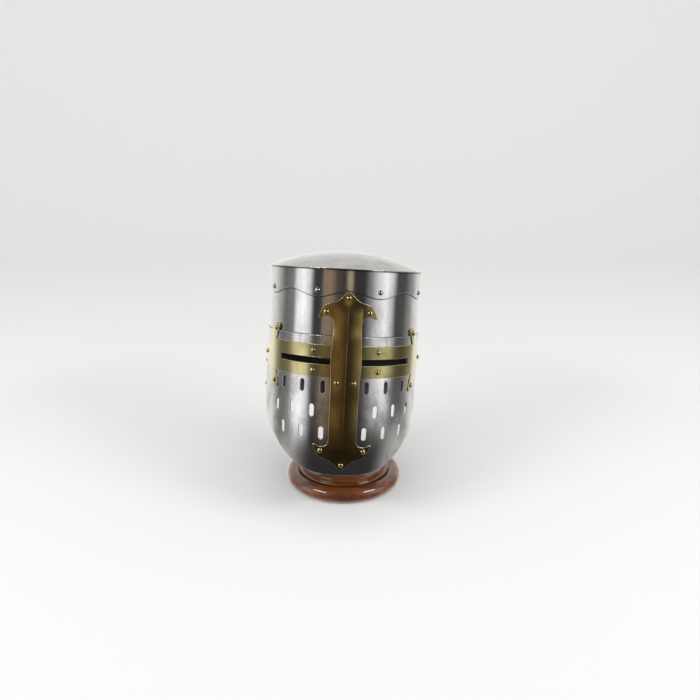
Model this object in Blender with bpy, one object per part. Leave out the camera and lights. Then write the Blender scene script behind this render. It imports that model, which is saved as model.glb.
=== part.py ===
"""A great helm on a turned wooden display stand.

Metres, +Z up, the front faces -Y. The origin is the centre of the stand's underside.

The helm's plates are cut flat and then rolled: each plate is drawn as a developed sheet, with
its length round the wall along X and its height along Z, cut there, and bent round one oval wall.
Heights on the helm are measured from the plane of the crown's rim, downwards as negative values.
"""

import math

import bmesh
import bpy
import numpy as np
from mathutils import Matrix, Vector

# How the helm stands
RIM_HEIGHT = 0.337          # from the floor to the middle of the crown's rim
LEAN = math.radians(2.9)    # the helm's lean on its stand, towards +X at the top
TIP = math.radians(12.0)    # and its tip backwards, which lifts its face

# The oval wall, measured on the outside of the skull plate
HALF_WIDTH = 0.1073
HALF_DEPTH = 0.1243
WALL_SEGMENTS = 56
TAPER_TOP = -0.175          # below this height the section draws in
TAPER_HEIGHT = 0.102        # from there to the chin
TAPER = 0.07                # share of the section that is lost at the chin
TAPER_POWER = 2.4
FORM_ROW = 0.022            # height of one formed row of the drawn-in wall

# Sheet thicknesses and the gap between pieces that touch
GAP = 0.0003
CROWN_SHEET = 0.0014
SKULL_SHEET = 0.0014
FACE_SHEET = 0.0014
BACK_SHEET = 0.0014
BAND_SHEET = 0.0010
BAR_SHEET = 0.0012

# Crown
DOME_RISE = 0.024
DOME_POWER = 2.2
DOME_RINGS = 4
LIP_OVERHANG = 0.0016
LIP_DEPTH = 0.0016
SKIRT_MIDDLE = -0.0335
SKIRT_WAVE = 0.0045
SKIRT_WAVES = 8

# Plate edges
SKULL_TOP = -0.006
SKULL_BOTTOM = -0.1145
FACE_TOP = -0.089
FACE_CHIN = -0.277
FACE_SIDE = -0.208
FACE_EDGE_POWER = 3.5
FACE_END = math.radians(98)
BACK_TOP = -0.093
BACK_BOTTOM = -0.207
BACK_START = math.radians(86)
JOGGLE = 0.003              # length of the step where a sheet climbs over another
BAR_SEAT = 0.012            # how far below the band the bar stays raised, for its middle rivets

# Sights and breaths
SIGHT_TOP = -0.1184
SIGHT_BOTTOM = -0.1270
SIGHT_INNER = math.radians(9)
SIGHT_OUTER = math.radians(53)
BREATH_WIDTH = 0.0065
BREATH_HEIGHT = 0.017
BREATH_ARC_STEPS = 3
# height of the row's middle, then the angles of its three breaths from the front, in degrees
BREATH_ROWS = (
    (-0.1570, 15.5, 31.0, 48.0),
    (-0.1895, 23.0, 39.0, 55.0),
    (-0.2190, 15.5, 31.0, 48.0),
)

# Sight band, with half a fleur drawn at one end and mirrored over the band's middle
BAND_TOP = -0.1010
BAND_BOTTOM = -0.1436
BAND_END = math.radians(60)     # where the fleur's wings leave the band
# along the band from its end, and away from its middle, in metres
BAND_FLEUR = (
    (-0.0040, 0.0260),
    (-0.0070, 0.0330),
    (-0.0100, 0.0400),
    (-0.0075, 0.0445),
    (0.0040, 0.0415),
    (0.0120, 0.0350),
    (0.0170, 0.0255),
    (0.0190, 0.0160),
    (0.0300, 0.0095),
)
BAND_TIP = 0.0480

# Upright bar, with half a fleur drawn at its top and mirrored to the other side and to the bottom
BAR_TOP = -0.0300
BAR_BOTTOM = -0.2700
BAR_HALF = 0.0185
BAR_SWELL = 0.0015          # extra half-width where the bar crosses the band
BAR_SWELL_LENGTH = 0.060
BAR_RIDGE = 0.0040          # how proud the crease down the middle stands
BAR_RIDGE_START = 0.0125    # flat length at each tip, where its rivet sits
BAR_RIDGE_FADE = 0.020      # length over which the crease then rises
# away from the middle, and down from the tip, in metres
BAR_FLEUR = (
    (0.0065, 0.0050),
    (0.0160, 0.0135),
    (0.0262, 0.0163),
    (0.0327, 0.0207),
    (0.0402, 0.0350),
    (0.0375, 0.0352),
    (0.0294, 0.0325),
    (0.0212, 0.0350),
)
BAR_FLEUR_LENGTH = 0.041

# Rivets
RIVET_RADIUS = 0.0035
RIVET_DOME = 0.0021
RIVET_SHOULDER = 0.72       # the middle of the head's curve, as a share of its radius and its height
SHANK_RADIUS = 0.0015
SHANK_CLEARANCE = 0.0004
SHANK_END = 0.0008          # how far a shank stands out inside
RIVET_SIDES = 7
CROWN_RIVET_HEIGHT = -0.0298
BAR_TIP_RIVET = 0.0080      # down from each tip
BAR_WING_RIVET = (0.0292, 0.0272)
BAR_MIDDLE_RIVET_ANGLE = math.radians(5.9)
BAR_MIDDLE_RIVET_DROP = 0.0064  # down from the band's lower edge
BAND_RIVET_ANGLE = math.radians(23.2)
BAND_RIVET_INSET = 0.0080   # from the band's edges
WING_RIVET = (0.0000, 0.0364)
TIP_RIVET = 0.0360
SEAM_RIVET_ANGLE = math.radians(92)
SEAM_RIVET_HEIGHTS = (-0.140, -0.174)
BACK_RIVET_HEIGHT = -0.1035
BACK_RIVET_ANGLES = (119.0, 160.0, 200.0, 241.0)

# Stand
STAND_SEGMENTS = 28
BULGE_RADIUS = 0.0884
BULGE_HEIGHT = 0.0246
BULGE_INSET = 0.0122        # how far the bulge comes in at its top and at its bottom
BULGE_STEPS = 6
GROOVE_RADIUS = 0.0715
GROOVE_HEIGHT = 0.0215
BEAD_RADIUS = 0.0700
BEAD_HEIGHT = 0.0045
COLLAR_RADIUS = 0.0645
STAND_TOP = 0.0310
POST_RADIUS = 0.0110
SOCKET_DEPTH = 0.0120
HEAD_RADIUS = 0.0380
HEAD_CURVE = 0.0600         # radius of the head's round top
HEAD_SIDE = 0.0120
HEAD_STEPS = 3
HEAD_GAP = 0.0005

# Height of the dome's underside over the rim, in its middle
CROWN_INSIDE = DOME_RISE - CROWN_SHEET

# The dome's middle rests on the round top of the stand's head, square to the helm's own axis
HELM_TURN = Matrix.Rotation(-TIP, 4, "X") @ Matrix.Rotation(LEAN, 4, "Y")
HELM_AXIS = HELM_TURN @ Vector((0.0, 0.0, 1.0))
HEAD_MIDDLE = RIM_HEIGHT + (CROWN_INSIDE - HEAD_CURVE - HEAD_GAP) * HELM_AXIS.z

# Layers, as distances outwards from the skull plate's outside
LEVEL_SKULL = -SKULL_SHEET
LEVEL_FACE = GAP
LEVEL_BAND = LEVEL_FACE + FACE_SHEET + GAP
LEVEL_OVER_BAND = LEVEL_BAND + BAND_SHEET + GAP


def section_scale(height):
    """The size of the wall's section at a height, as a share of the section above the taper."""
    depth = max(0.0, TAPER_TOP - height) / TAPER_HEIGHT
    return 1.0 - TAPER * depth ** TAPER_POWER


def section_slope(height):
    """How fast the section's scale grows with height."""
    depth = max(0.0, TAPER_TOP - height) / TAPER_HEIGHT
    return TAPER * TAPER_POWER / TAPER_HEIGHT * depth ** (TAPER_POWER - 1.0)


def wall_normal(angle, height):
    """The direction straight out of the wall, which tips down where the wall draws in."""
    return Vector((
        HALF_DEPTH * math.sin(angle),
        -HALF_WIDTH * math.cos(angle),
        -HALF_WIDTH * HALF_DEPTH * section_slope(height),
    )).normalized()


def wall_point(angle, height, offset):
    """A point at an offset outwards from the wall, at an angle from the front."""
    scale = section_scale(height)
    point = Vector((
        HALF_WIDTH * scale * math.sin(angle),
        -HALF_DEPTH * scale * math.cos(angle),
        height,
    ))
    return point + offset * wall_normal(angle, height)


# Length round the wall from the front, as a function of the angle and back again
ANGLE_STEPS = np.radians(np.linspace(-360.0, 360.0, 7201))
STEP_LENGTHS = np.hypot(HALF_WIDTH * np.cos(ANGLE_STEPS), HALF_DEPTH * np.sin(ANGLE_STEPS))
ARC_LENGTHS = np.concatenate((
    [0.0],
    np.cumsum((STEP_LENGTHS[1:] + STEP_LENGTHS[:-1]) / 2.0 * np.diff(ANGLE_STEPS)),
))
ARC_LENGTHS -= np.interp(0.0, ANGLE_STEPS, ARC_LENGTHS)


def arc_length(angle):
    return float(np.interp(angle, ANGLE_STEPS, ARC_LENGTHS))


def arc_angle(length):
    return float(np.interp(length, ARC_LENGTHS, ANGLE_STEPS))


def material(name, color, roughness, metallic):
    """A plain Principled material."""
    found = bpy.data.materials.get(name) or bpy.data.materials.new(name)
    found.use_nodes = True
    shader = found.node_tree.nodes["Principled BSDF"]
    shader.inputs["Base Color"].default_value = (*color, 1.0)
    shader.inputs["Roughness"].default_value = roughness
    shader.inputs["Metallic"].default_value = metallic
    return found


def steel():
    return material("polished_steel", (0.58, 0.57, 0.55), 0.22, 1.0)


def brass():
    return material("aged_brass", (0.55, 0.42, 0.17), 0.30, 1.0)


def wood():
    return material("turned_wood", (0.20, 0.06, 0.025), 0.25, 0.0)


def new_object(name, bm, finish, sharp=35.0):
    """Puts a bmesh into the scene as one named object, and shades it smooth but for its edges."""
    mesh = bpy.data.meshes.new(name)
    bmesh.ops.recalc_face_normals(bm, faces=bm.faces)
    bm.to_mesh(mesh)
    bm.free()
    mesh.shade_smooth()
    mesh.set_sharp_from_angle(angle=math.radians(sharp))
    mesh.materials.append(finish)
    made = bpy.data.objects.new(name, mesh)
    bpy.context.scene.collection.objects.link(made)
    return made


def prism(bm, outline, near, far):
    """Adds a closed prism to a bmesh: an outline in X and Z, from one depth along Y to another."""
    base = bm.faces.new([bm.verts.new((x, near, z)) for x, z in outline])
    moved = bmesh.ops.extrude_face_region(bm, geom=[base])
    verts = [item for item in moved["geom"] if isinstance(item, bmesh.types.BMVert)]
    bmesh.ops.translate(bm, vec=(0.0, far - near, 0.0), verts=verts)


def rectangle(left, right, bottom, top):
    return [(left, bottom), (right, bottom), (right, top), (left, top)]


def round_outline(x, z, radius, sides):
    return [
        (x + radius * math.cos(2 * math.pi * i / sides), z + radius * math.sin(2 * math.pi * i / sides))
        for i in range(sides)
    ]


def oblong_outline(x, z, width, height, steps):
    """An upright slot with round ends."""
    radius = width / 2
    straight = height / 2 - radius
    points = []
    for middle, start in ((z + straight, 0.0), (z - straight, math.pi)):
        for i in range(steps + 1):
            turn = start + math.pi * i / steps
            points.append((x + radius * math.cos(turn), middle + radius * math.sin(turn)))
    return points


def rivet_hole(x, z):
    return round_outline(x, z, SHANK_RADIUS + SHANK_CLEARANCE, RIVET_SIDES)


def cut_sheet(outline, holes):
    """A flat sheet of unit thickness with its holes cut, as a bmesh. Y is 0 inside and -1 outside."""
    sheet = bmesh.new()
    prism(sheet, outline, 0.0, -1.0)
    bmesh.ops.recalc_face_normals(sheet, faces=sheet.faces)
    if not holes:
        return sheet
    cutter = bmesh.new()
    for hole in holes:
        prism(cutter, hole, 0.5, -1.5)
    bmesh.ops.recalc_face_normals(cutter, faces=cutter.faces)
    sheet_mesh = bpy.data.meshes.new("sheet")
    cutter_mesh = bpy.data.meshes.new("punch")
    sheet.to_mesh(sheet_mesh)
    cutter.to_mesh(cutter_mesh)
    cutter.free()
    blank = bpy.data.objects.new("sheet", sheet_mesh)
    punch = bpy.data.objects.new("punch", cutter_mesh)
    for item in (blank, punch):
        bpy.context.scene.collection.objects.link(item)
    cut = blank.modifiers.new("holes", "BOOLEAN")
    cut.operation = "DIFFERENCE"
    cut.object = punch
    bpy.context.view_layer.update()
    evaluated = blank.evaluated_get(bpy.context.evaluated_depsgraph_get())
    sheet.clear()
    sheet.from_mesh(evaluated.to_mesh())
    evaluated.to_mesh_clear()
    for item in (blank, punch):
        bpy.data.objects.remove(item)
    return sheet


def roll_sheet(name, outline, holes, inside, thickness, finish, rows=(), closed=False):
    """Cuts a sheet flat and bends it round the wall.

    inside gives the offset of the sheet's inner face from its length along the wall and its height.
    """
    sheet = cut_sheet(outline, holes)
    lengths = [vert.co.x for vert in sheet.verts]
    heights = [vert.co.z for vert in sheet.verts]
    for i in range(-WALL_SEGMENTS // 2, WALL_SEGMENTS + 1):
        line = arc_length(2 * math.pi * i / WALL_SEGMENTS)
        if min(lengths) + GAP < line < max(lengths) - GAP:
            split_sheet(sheet, (line, 0.0, 0.0), (1.0, 0.0, 0.0))
    for height in rows:
        if min(heights) + GAP < height < max(heights) - GAP:
            split_sheet(sheet, (0.0, 0.0, height), (0.0, 0.0, 1.0))
    if closed:
        ends = [
            face for face in sheet.faces
            if abs(face.normal.x) > 0.99 and abs(abs(face.calc_center_median().x) - max(lengths)) < GAP
        ]
        bmesh.ops.delete(sheet, geom=ends, context="FACES_ONLY")
    bmesh.ops.triangulate(sheet, faces=sheet.faces)
    for vert in sheet.verts:
        length, depth, height = vert.co
        offset = inside(length, height) - depth * thickness
        vert.co = wall_point(arc_angle(length), height, offset)
    if closed:
        bmesh.ops.remove_doubles(sheet, verts=sheet.verts, dist=1e-6)
    return new_object(name, sheet, finish)


def split_sheet(sheet, point, direction):
    geometry = list(sheet.verts) + list(sheet.edges) + list(sheet.faces)
    bmesh.ops.bisect_plane(sheet, geom=geometry, dist=1e-5, plane_co=point, plane_no=direction)


def form_rows():
    """Heights at which a sheet bends where the wall draws in."""
    count = math.ceil(TAPER_HEIGHT / FORM_ROW)
    return [TAPER_TOP - TAPER_HEIGHT * i / count for i in range(count)]


def revolve(name, profile, segments, finish, sharp=35.0):
    """Turns a profile of radius and height pairs, from the axis at its bottom to the axis at its top."""
    bm = bmesh.new()
    rings = []
    for radius, height in profile:
        if radius == 0.0:
            rings.append([bm.verts.new((0.0, 0.0, height))])
            continue
        rings.append([
            bm.verts.new((radius * math.cos(turn), radius * math.sin(turn), height))
            for turn in (2 * math.pi * i / segments for i in range(segments))
        ])
    join_rings(bm, rings)
    return new_object(name, bm, finish, sharp)


def join_rings(bm, rings):
    for lower, upper in zip(rings, rings[1:]):
        count = max(len(lower), len(upper))
        for i in range(count):
            j = (i + 1) % count
            below = [lower[i % len(lower)], lower[j % len(lower)]]
            above = [upper[j % len(upper)], upper[i % len(upper)]]
            bm.faces.new(list(dict.fromkeys(below + above)))


def bar_level(height):
    """The offset of the bar's inner face: it steps over the face plate and over the band."""
    band_step = LEVEL_OVER_BAND - LEVEL_BAND
    level = GAP
    level += (LEVEL_BAND - GAP) * ramp(height, FACE_TOP + 2 * JOGGLE, FACE_TOP + JOGGLE)
    level += band_step * ramp(height, BAND_TOP + 2 * JOGGLE, BAND_TOP + JOGGLE)
    level -= band_step * ramp(height, BAND_BOTTOM - BAR_SEAT, BAND_BOTTOM - BAR_SEAT - JOGGLE)
    return level


def ramp(value, start, end):
    """0 before the start and 1 after the end, with a straight rise between them."""
    return min(1.0, max(0.0, (value - start) / (end - start)))


def bar_crease(length, height):
    """How far the bar is raised into its crease."""
    tip = min(BAR_TOP - height, height - BAR_BOTTOM)
    across = max(0.0, 1.0 - abs(length) / BAR_HALF)
    return BAR_RIDGE * across * ramp(tip, BAR_RIDGE_START, BAR_RIDGE_START + BAR_RIDGE_FADE)


def back_level(height):
    """The back plate goes up behind the skull plate, and lies level with it below."""
    behind = LEVEL_SKULL - GAP - BACK_SHEET
    return behind + (LEVEL_SKULL - behind) * ramp(height, SKULL_BOTTOM - JOGGLE, SKULL_BOTTOM - 2 * JOGGLE)


def bar_outline():
    half = [(0.0, BAR_TOP)] + [(x, BAR_TOP - down) for x, down in BAR_FLEUR]
    half.append((BAR_HALF, BAR_TOP - BAR_FLEUR_LENGTH))
    middle = (BAND_TOP + BAND_BOTTOM) / 2
    for share in (-0.5, -0.25, 0.0, 0.25, 0.5):
        swell = BAR_SWELL * math.cos(math.pi * share) ** 2
        half.append((BAR_HALF + swell, middle - share * BAR_SWELL_LENGTH))
    half.append((BAR_HALF, BAR_BOTTOM + BAR_FLEUR_LENGTH))
    half += [(x, BAR_BOTTOM + up) for x, up in reversed(BAR_FLEUR)]
    half.append((0.0, BAR_BOTTOM))
    return half + [(-x, z) for x, z in reversed(half[1:-1])]


def band_outline():
    middle = (BAND_TOP + BAND_BOTTOM) / 2
    end = arc_length(BAND_END)
    upper = [(-end, BAND_TOP), (end, BAND_TOP)]
    fleur = [(end + along, middle + away) for along, away in BAND_FLEUR]
    tip = [(end + BAND_TIP, middle)]
    right = upper[1:] + fleur + tip + [(x, 2 * middle - z) for x, z in reversed(fleur)]
    right.append((end, BAND_BOTTOM))
    return right + [(-x, z) for x, z in reversed(right)]


def face_edge(angle):
    """The face plate's lower edge, deepest at the chin."""
    turn = min(abs(angle), math.pi / 2)
    return FACE_CHIN + (FACE_SIDE - FACE_CHIN) * math.sin(turn) ** FACE_EDGE_POWER


def face_outline():
    count = math.ceil(2 * FACE_END / (2 * math.pi / WALL_SEGMENTS))
    angles = [-FACE_END + 2 * FACE_END * i / count for i in range(count + 1)]
    lower = [(arc_length(angle), face_edge(angle)) for angle in angles]
    end = arc_length(FACE_END)
    return lower + [(end, FACE_TOP), (-end, FACE_TOP)]


def rivet_places():
    """Each rivet's name, length round the wall, height, outer end and inner end."""
    middle = (BAND_TOP + BAND_BOTTOM) / 2
    face_out = LEVEL_FACE + FACE_SHEET
    band_out = LEVEL_BAND + BAND_SHEET
    skull_in = LEVEL_SKULL
    places = []
    for i in range(SKIRT_WAVES):
        angle = 2 * math.pi * (i + 0.5) / SKIRT_WAVES
        angle = angle if angle <= math.pi else angle - 2 * math.pi
        places.append((f"crown_rivet_{i + 1}", arc_length(angle), CROWN_RIVET_HEIGHT,
                       GAP + CROWN_SHEET, skull_in))
    for end, tip, sign in (("top", BAR_TOP, -1), ("bottom", BAR_BOTTOM, 1)):
        inner = skull_in if end == "top" else LEVEL_FACE
        height = tip + sign * BAR_TIP_RIVET
        places.append((f"bar_{end}_rivet", 0.0, height, bar_out(0.0, height), inner))
        height = tip + sign * BAR_WING_RIVET[1]
        for side, x in (("left", -BAR_WING_RIVET[0]), ("right", BAR_WING_RIVET[0])):
            places.append((f"bar_{end}_rivet_{side}", x, height, bar_out(x, height), inner))
    for side, sign in (("left", -1), ("right", 1)):
        x = sign * arc_length(BAR_MIDDLE_RIVET_ANGLE)
        height = BAND_BOTTOM - BAR_MIDDLE_RIVET_DROP
        places.append((f"bar_middle_rivet_{side}", x, height, bar_out(x, height), LEVEL_FACE))
        x = sign * arc_length(BAND_RIVET_ANGLE)
        places.append((f"band_upper_rivet_{side}", x, BAND_TOP - BAND_RIVET_INSET, band_out, skull_in))
        places.append((f"band_lower_rivet_{side}", x, BAND_BOTTOM + BAND_RIVET_INSET, band_out, LEVEL_FACE))
        end = arc_length(BAND_END)
        x = sign * (end + WING_RIVET[0])
        places.append((f"fleur_upper_rivet_{side}", x, middle + WING_RIVET[1], band_out, skull_in))
        places.append((f"fleur_lower_rivet_{side}", x, middle - WING_RIVET[1], band_out, LEVEL_FACE))
        places.append((f"fleur_tip_rivet_{side}", sign * (end + TIP_RIVET), middle, band_out, LEVEL_FACE))
        x = sign * arc_length(SEAM_RIVET_ANGLE)
        for i, height in enumerate(SEAM_RIVET_HEIGHTS):
            places.append((f"seam_rivet_{side}_{i + 1}", x, height, face_out, LEVEL_SKULL))
    for i, degrees in enumerate(BACK_RIVET_ANGLES):
        angle = math.radians(degrees if degrees <= 180.0 else degrees - 360.0)
        places.append((f"back_rivet_{i + 1}", arc_length(angle), BACK_RIVET_HEIGHT, 0.0,
                       back_level(BACK_RIVET_HEIGHT)))
    return places


def bar_out(length, height):
    return bar_level(height) + bar_crease(length, height) + BAR_SHEET


def holes_in(places, names):
    return [rivet_hole(x, z) for name, x, z, outer, inner in places if name.startswith(names)]


def make_crown(places):
    """The dome, its lip and the wavy skirt, welded into one piece."""
    inner = GAP
    outer = GAP + CROWN_SHEET
    lip = outer + LIP_OVERHANG
    bm = bmesh.new()

    def ring(height, offset, wave=0.0):
        made = []
        for i in range(WALL_SEGMENTS):
            angle = 2 * math.pi * i / WALL_SEGMENTS
            point = wall_point(angle, TAPER_TOP, offset)
            point.z = height + wave * math.cos(SKIRT_WAVES * angle)
            made.append(bm.verts.new(point))
        return made

    def dome_ring(rise, share, offset):
        made = []
        for i in range(WALL_SEGMENTS):
            point = wall_point(2 * math.pi * i / WALL_SEGMENTS, TAPER_TOP, offset) * share
            point.z = rise * (1.0 - share ** DOME_POWER)
            made.append(bm.verts.new(point))
        return made

    shares = [1.0 - i / DOME_RINGS for i in range(DOME_RINGS)]
    rings = [ring(SKIRT_MIDDLE, inner, SKIRT_WAVE), ring(SKIRT_MIDDLE, outer, SKIRT_WAVE)]
    rings.append(ring(-LIP_DEPTH, outer))
    rings.append(ring(-LIP_DEPTH, lip))
    rings += [dome_ring(DOME_RISE, share, lip) for share in shares]
    rings.append([bm.verts.new((0.0, 0.0, DOME_RISE))])
    join_rings(bm, rings)
    under = []
    for share in shares:
        loop = dome_ring(CROWN_INSIDE + LIP_DEPTH, share, inner)
        for vert in loop:
            vert.co.z -= LIP_DEPTH
        under.append(loop)
    under.append([bm.verts.new((0.0, 0.0, CROWN_INSIDE))])
    join_rings(bm, [rings[0]] + under)
    crown = new_object("crown_cap", bm, steel())
    cutter = bmesh.new()
    for name, length, height, outer_end, inner_end in places:
        if name.startswith("crown_rivet"):
            hole = bmesh.ops.create_cone(
                cutter, cap_ends=True, segments=RIVET_SIDES, radius1=SHANK_RADIUS + SHANK_CLEARANCE,
                radius2=SHANK_RADIUS + SHANK_CLEARANCE, depth=4 * CROWN_SHEET,
            )
            place = rivet_frame(length, height, GAP + CROWN_SHEET / 2)
            bmesh.ops.transform(cutter, matrix=place, verts=hole["verts"])
    punch = new_object("crown_punch", cutter, steel())
    punch.hide_render = True
    punch.display_type = "WIRE"
    cut = crown.modifiers.new("rivet_holes", "BOOLEAN")
    cut.operation = "DIFFERENCE"
    cut.object = punch
    return crown, punch


def rivet_frame(length, height, offset):
    """The frame at a place on the wall: X runs round the wall, Y up it and Z straight out."""
    angle = arc_angle(length)
    out = wall_normal(angle, height)
    up = (Vector((0.0, 0.0, 1.0)) - out.z * out).normalized()
    turn = Matrix((up.cross(out), up, out)).transposed().to_4x4()
    return Matrix.Translation(wall_point(angle, height, offset)) @ turn


def make_rivet(name, length, height, outer, inner, finish):
    """A round-headed rivet whose shank goes through every sheet that it holds."""
    reach = outer - inner + SHANK_END + GAP
    profile = [
        (0.0, -reach), (SHANK_RADIUS, -reach), (SHANK_RADIUS, 0.0), (RIVET_RADIUS, 0.0),
        (RIVET_RADIUS * RIVET_SHOULDER, RIVET_DOME * RIVET_SHOULDER), (0.0, RIVET_DOME),
    ]
    made = revolve(name, profile, RIVET_SIDES, finish)
    if name.startswith("bar_"):
        seat_head(made, length, height)
    made.matrix_basis = rivet_frame(length, height, outer + GAP)
    return made


def seat_head(rivet, length, height):
    """Tips a rivet's head to the slope of the bar under it, and leaves its shank straight."""
    reach = RIVET_RADIUS
    round_slope = (bar_out(length + reach, height) - bar_out(length - reach, height)) / (2 * reach)
    up_slope = (bar_out(length, height + reach) - bar_out(length, height - reach)) / (2 * reach)
    for vert in rivet.data.vertices:
        if vert.co.z >= 0.0:
            vert.co.z += round_slope * vert.co.x + up_slope * vert.co.y


def make_helm():
    """All the helm's pieces, in the helm's own frame."""
    places = rivet_places()
    made = list(make_crown(places))
    end = arc_length(math.pi)
    made.append(roll_sheet(
        "skull_plate", rectangle(-end, end, SKULL_BOTTOM, SKULL_TOP),
        holes_in(places, ("crown_", "bar_top", "band_upper", "fleur_upper", "back_")),
        lambda length, height: LEVEL_SKULL, SKULL_SHEET, steel(), closed=True))

    sights = [
        rectangle(*sorted((sign * arc_length(SIGHT_INNER), sign * arc_length(SIGHT_OUTER))),
                  SIGHT_BOTTOM, SIGHT_TOP)
        for sign in (-1, 1)
    ]
    breaths = [
        oblong_outline(sign * arc_length(math.radians(degrees)), row[0], BREATH_WIDTH, BREATH_HEIGHT,
                       BREATH_ARC_STEPS)
        for row in BREATH_ROWS for degrees in row[1:] for sign in (-1, 1)
    ]
    made.append(roll_sheet(
        "face_plate", face_outline(),
        sights + breaths + holes_in(places, ("bar_bottom", "bar_middle", "band_", "fleur_lower", "fleur_tip",
                                             "seam_")),
        lambda length, height: LEVEL_FACE, FACE_SHEET, steel(), rows=form_rows()))

    start = arc_length(BACK_START)
    back_rows = form_rows() + [SKULL_BOTTOM - JOGGLE, SKULL_BOTTOM - 2 * JOGGLE]
    made.append(roll_back(start, 2 * arc_length(math.pi) - start, back_rows, places))

    made.append(roll_sheet(
        "sight_band", band_outline(), sights + holes_in(places, ("band_", "fleur_")),
        lambda length, height: LEVEL_BAND, BAND_SHEET, brass()))

    steps = [FACE_TOP + 2 * JOGGLE, FACE_TOP + JOGGLE, BAND_TOP + 2 * JOGGLE, BAND_TOP + JOGGLE,
             BAND_BOTTOM - BAR_SEAT, BAND_BOTTOM - BAR_SEAT - JOGGLE]
    for along in (BAR_RIDGE_START, BAR_RIDGE_START + BAR_RIDGE_FADE):
        steps += [BAR_TOP - along, BAR_BOTTOM + along]
    made.append(roll_sheet(
        "keel_bar", bar_outline(), holes_in(places, ("bar_",)),
        lambda length, height: bar_level(height) + bar_crease(length, height), BAR_SHEET, brass(),
        rows=form_rows() + steps))

    for name, length, height, outer, inner in places:
        finish = steel() if name.startswith(("crown_", "seam_", "back_")) else brass()
        made.append(make_rivet(name, length, height, outer, inner, finish))
    return made


def roll_back(start, end, rows, places):
    """The back plate, from behind one side of the face plate round to the other."""
    whole = 2 * arc_length(math.pi)
    holes = []
    for name, x, z, outer, inner in places:
        if name.startswith(("seam_", "back_")):
            holes.append(rivet_hole(x if x > 0 else x + whole, z))
    outline = rectangle(start, end, BACK_BOTTOM, BACK_TOP)
    return roll_sheet("back_plate", outline, holes, lambda length, height: back_level(height),
                      BACK_SHEET, steel(), rows=rows)


def make_stand():
    """Base, post and head, each turned from one piece of wood."""
    bulge = []
    for i in range(BULGE_STEPS + 1):
        turn = math.pi * (i / BULGE_STEPS - 0.5)
        bulge.append((BULGE_RADIUS - BULGE_INSET * (1 - math.cos(turn)),
                      BULGE_HEIGHT / 2 * (1 + math.sin(turn))))
    bead_top = GROOVE_HEIGHT + BEAD_HEIGHT
    base_profile = [(0.0, 0.0)] + bulge + [
        (GROOVE_RADIUS, GROOVE_HEIGHT), (BEAD_RADIUS, GROOVE_HEIGHT),
        (BEAD_RADIUS, GROOVE_HEIGHT + BEAD_HEIGHT / 2), (BEAD_RADIUS - BEAD_HEIGHT / 2, bead_top),
        (COLLAR_RADIUS, bead_top), (COLLAR_RADIUS, STAND_TOP), (POST_RADIUS + GAP, STAND_TOP),
        (POST_RADIUS + GAP, STAND_TOP - SOCKET_DEPTH), (0.0, STAND_TOP - SOCKET_DEPTH),
    ]
    base = revolve("stand_base", base_profile, STAND_SEGMENTS, wood())

    head_top = HEAD_MIDDLE + HEAD_CURVE
    drop = HEAD_CURVE - math.sqrt(HEAD_CURVE ** 2 - HEAD_RADIUS ** 2)
    head_bottom = head_top - drop - HEAD_SIDE
    socket_top = head_bottom + SOCKET_DEPTH
    spread = math.asin(HEAD_RADIUS / HEAD_CURVE)
    head_profile = [(0.0, socket_top), (POST_RADIUS + GAP, socket_top), (POST_RADIUS + GAP, head_bottom),
                    (HEAD_RADIUS, head_bottom)]
    for i in range(HEAD_STEPS, -1, -1):
        turn = spread * i / HEAD_STEPS
        head_profile.append((HEAD_CURVE * math.sin(turn), head_top - HEAD_CURVE * (1 - math.cos(turn))))
    head = revolve("stand_head", head_profile, STAND_SEGMENTS, wood())

    foot = STAND_TOP - SOCKET_DEPTH + GAP
    top = socket_top - GAP
    post = revolve("stand_post", [(0.0, foot), (POST_RADIUS, foot), (POST_RADIUS, top), (0.0, top)],
                   STAND_SEGMENTS, wood())
    return [base, post, head]


def main():
    for item in list(bpy.data.objects):
        bpy.data.objects.remove(item)
    make_stand()
    seat = bpy.data.objects.new("helm_seat", None)
    bpy.context.scene.collection.objects.link(seat)
    place = Vector((0.0, 0.0, HEAD_MIDDLE)) + (HEAD_CURVE + HEAD_GAP) * HELM_AXIS
    seat.matrix_basis = Matrix.Translation(place) @ HELM_TURN
    for piece in make_helm():
        piece.parent = seat
        piece.matrix_parent_inverse = Matrix.Translation((0.0, 0.0, -CROWN_INSIDE))


main()
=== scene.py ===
# %% [markdown]
# # A great helm on its display stand
#
# A great helm is built from a few rolled steel plates: a domed crown, a wall round the skull, a face
# plate and a back plate. Brass strips are riveted over the face. Each plate starts as a flat sheet,
# so this lesson makes them the same way: draw the sheet flat, cut its holes, and roll it up.
# The frame gives the finished model's sizes and places, and nothing here moves it.

# %% Load the frame
import math

import bmesh
import bpy
import numpy as np
from mathutils import Matrix, Vector


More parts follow.
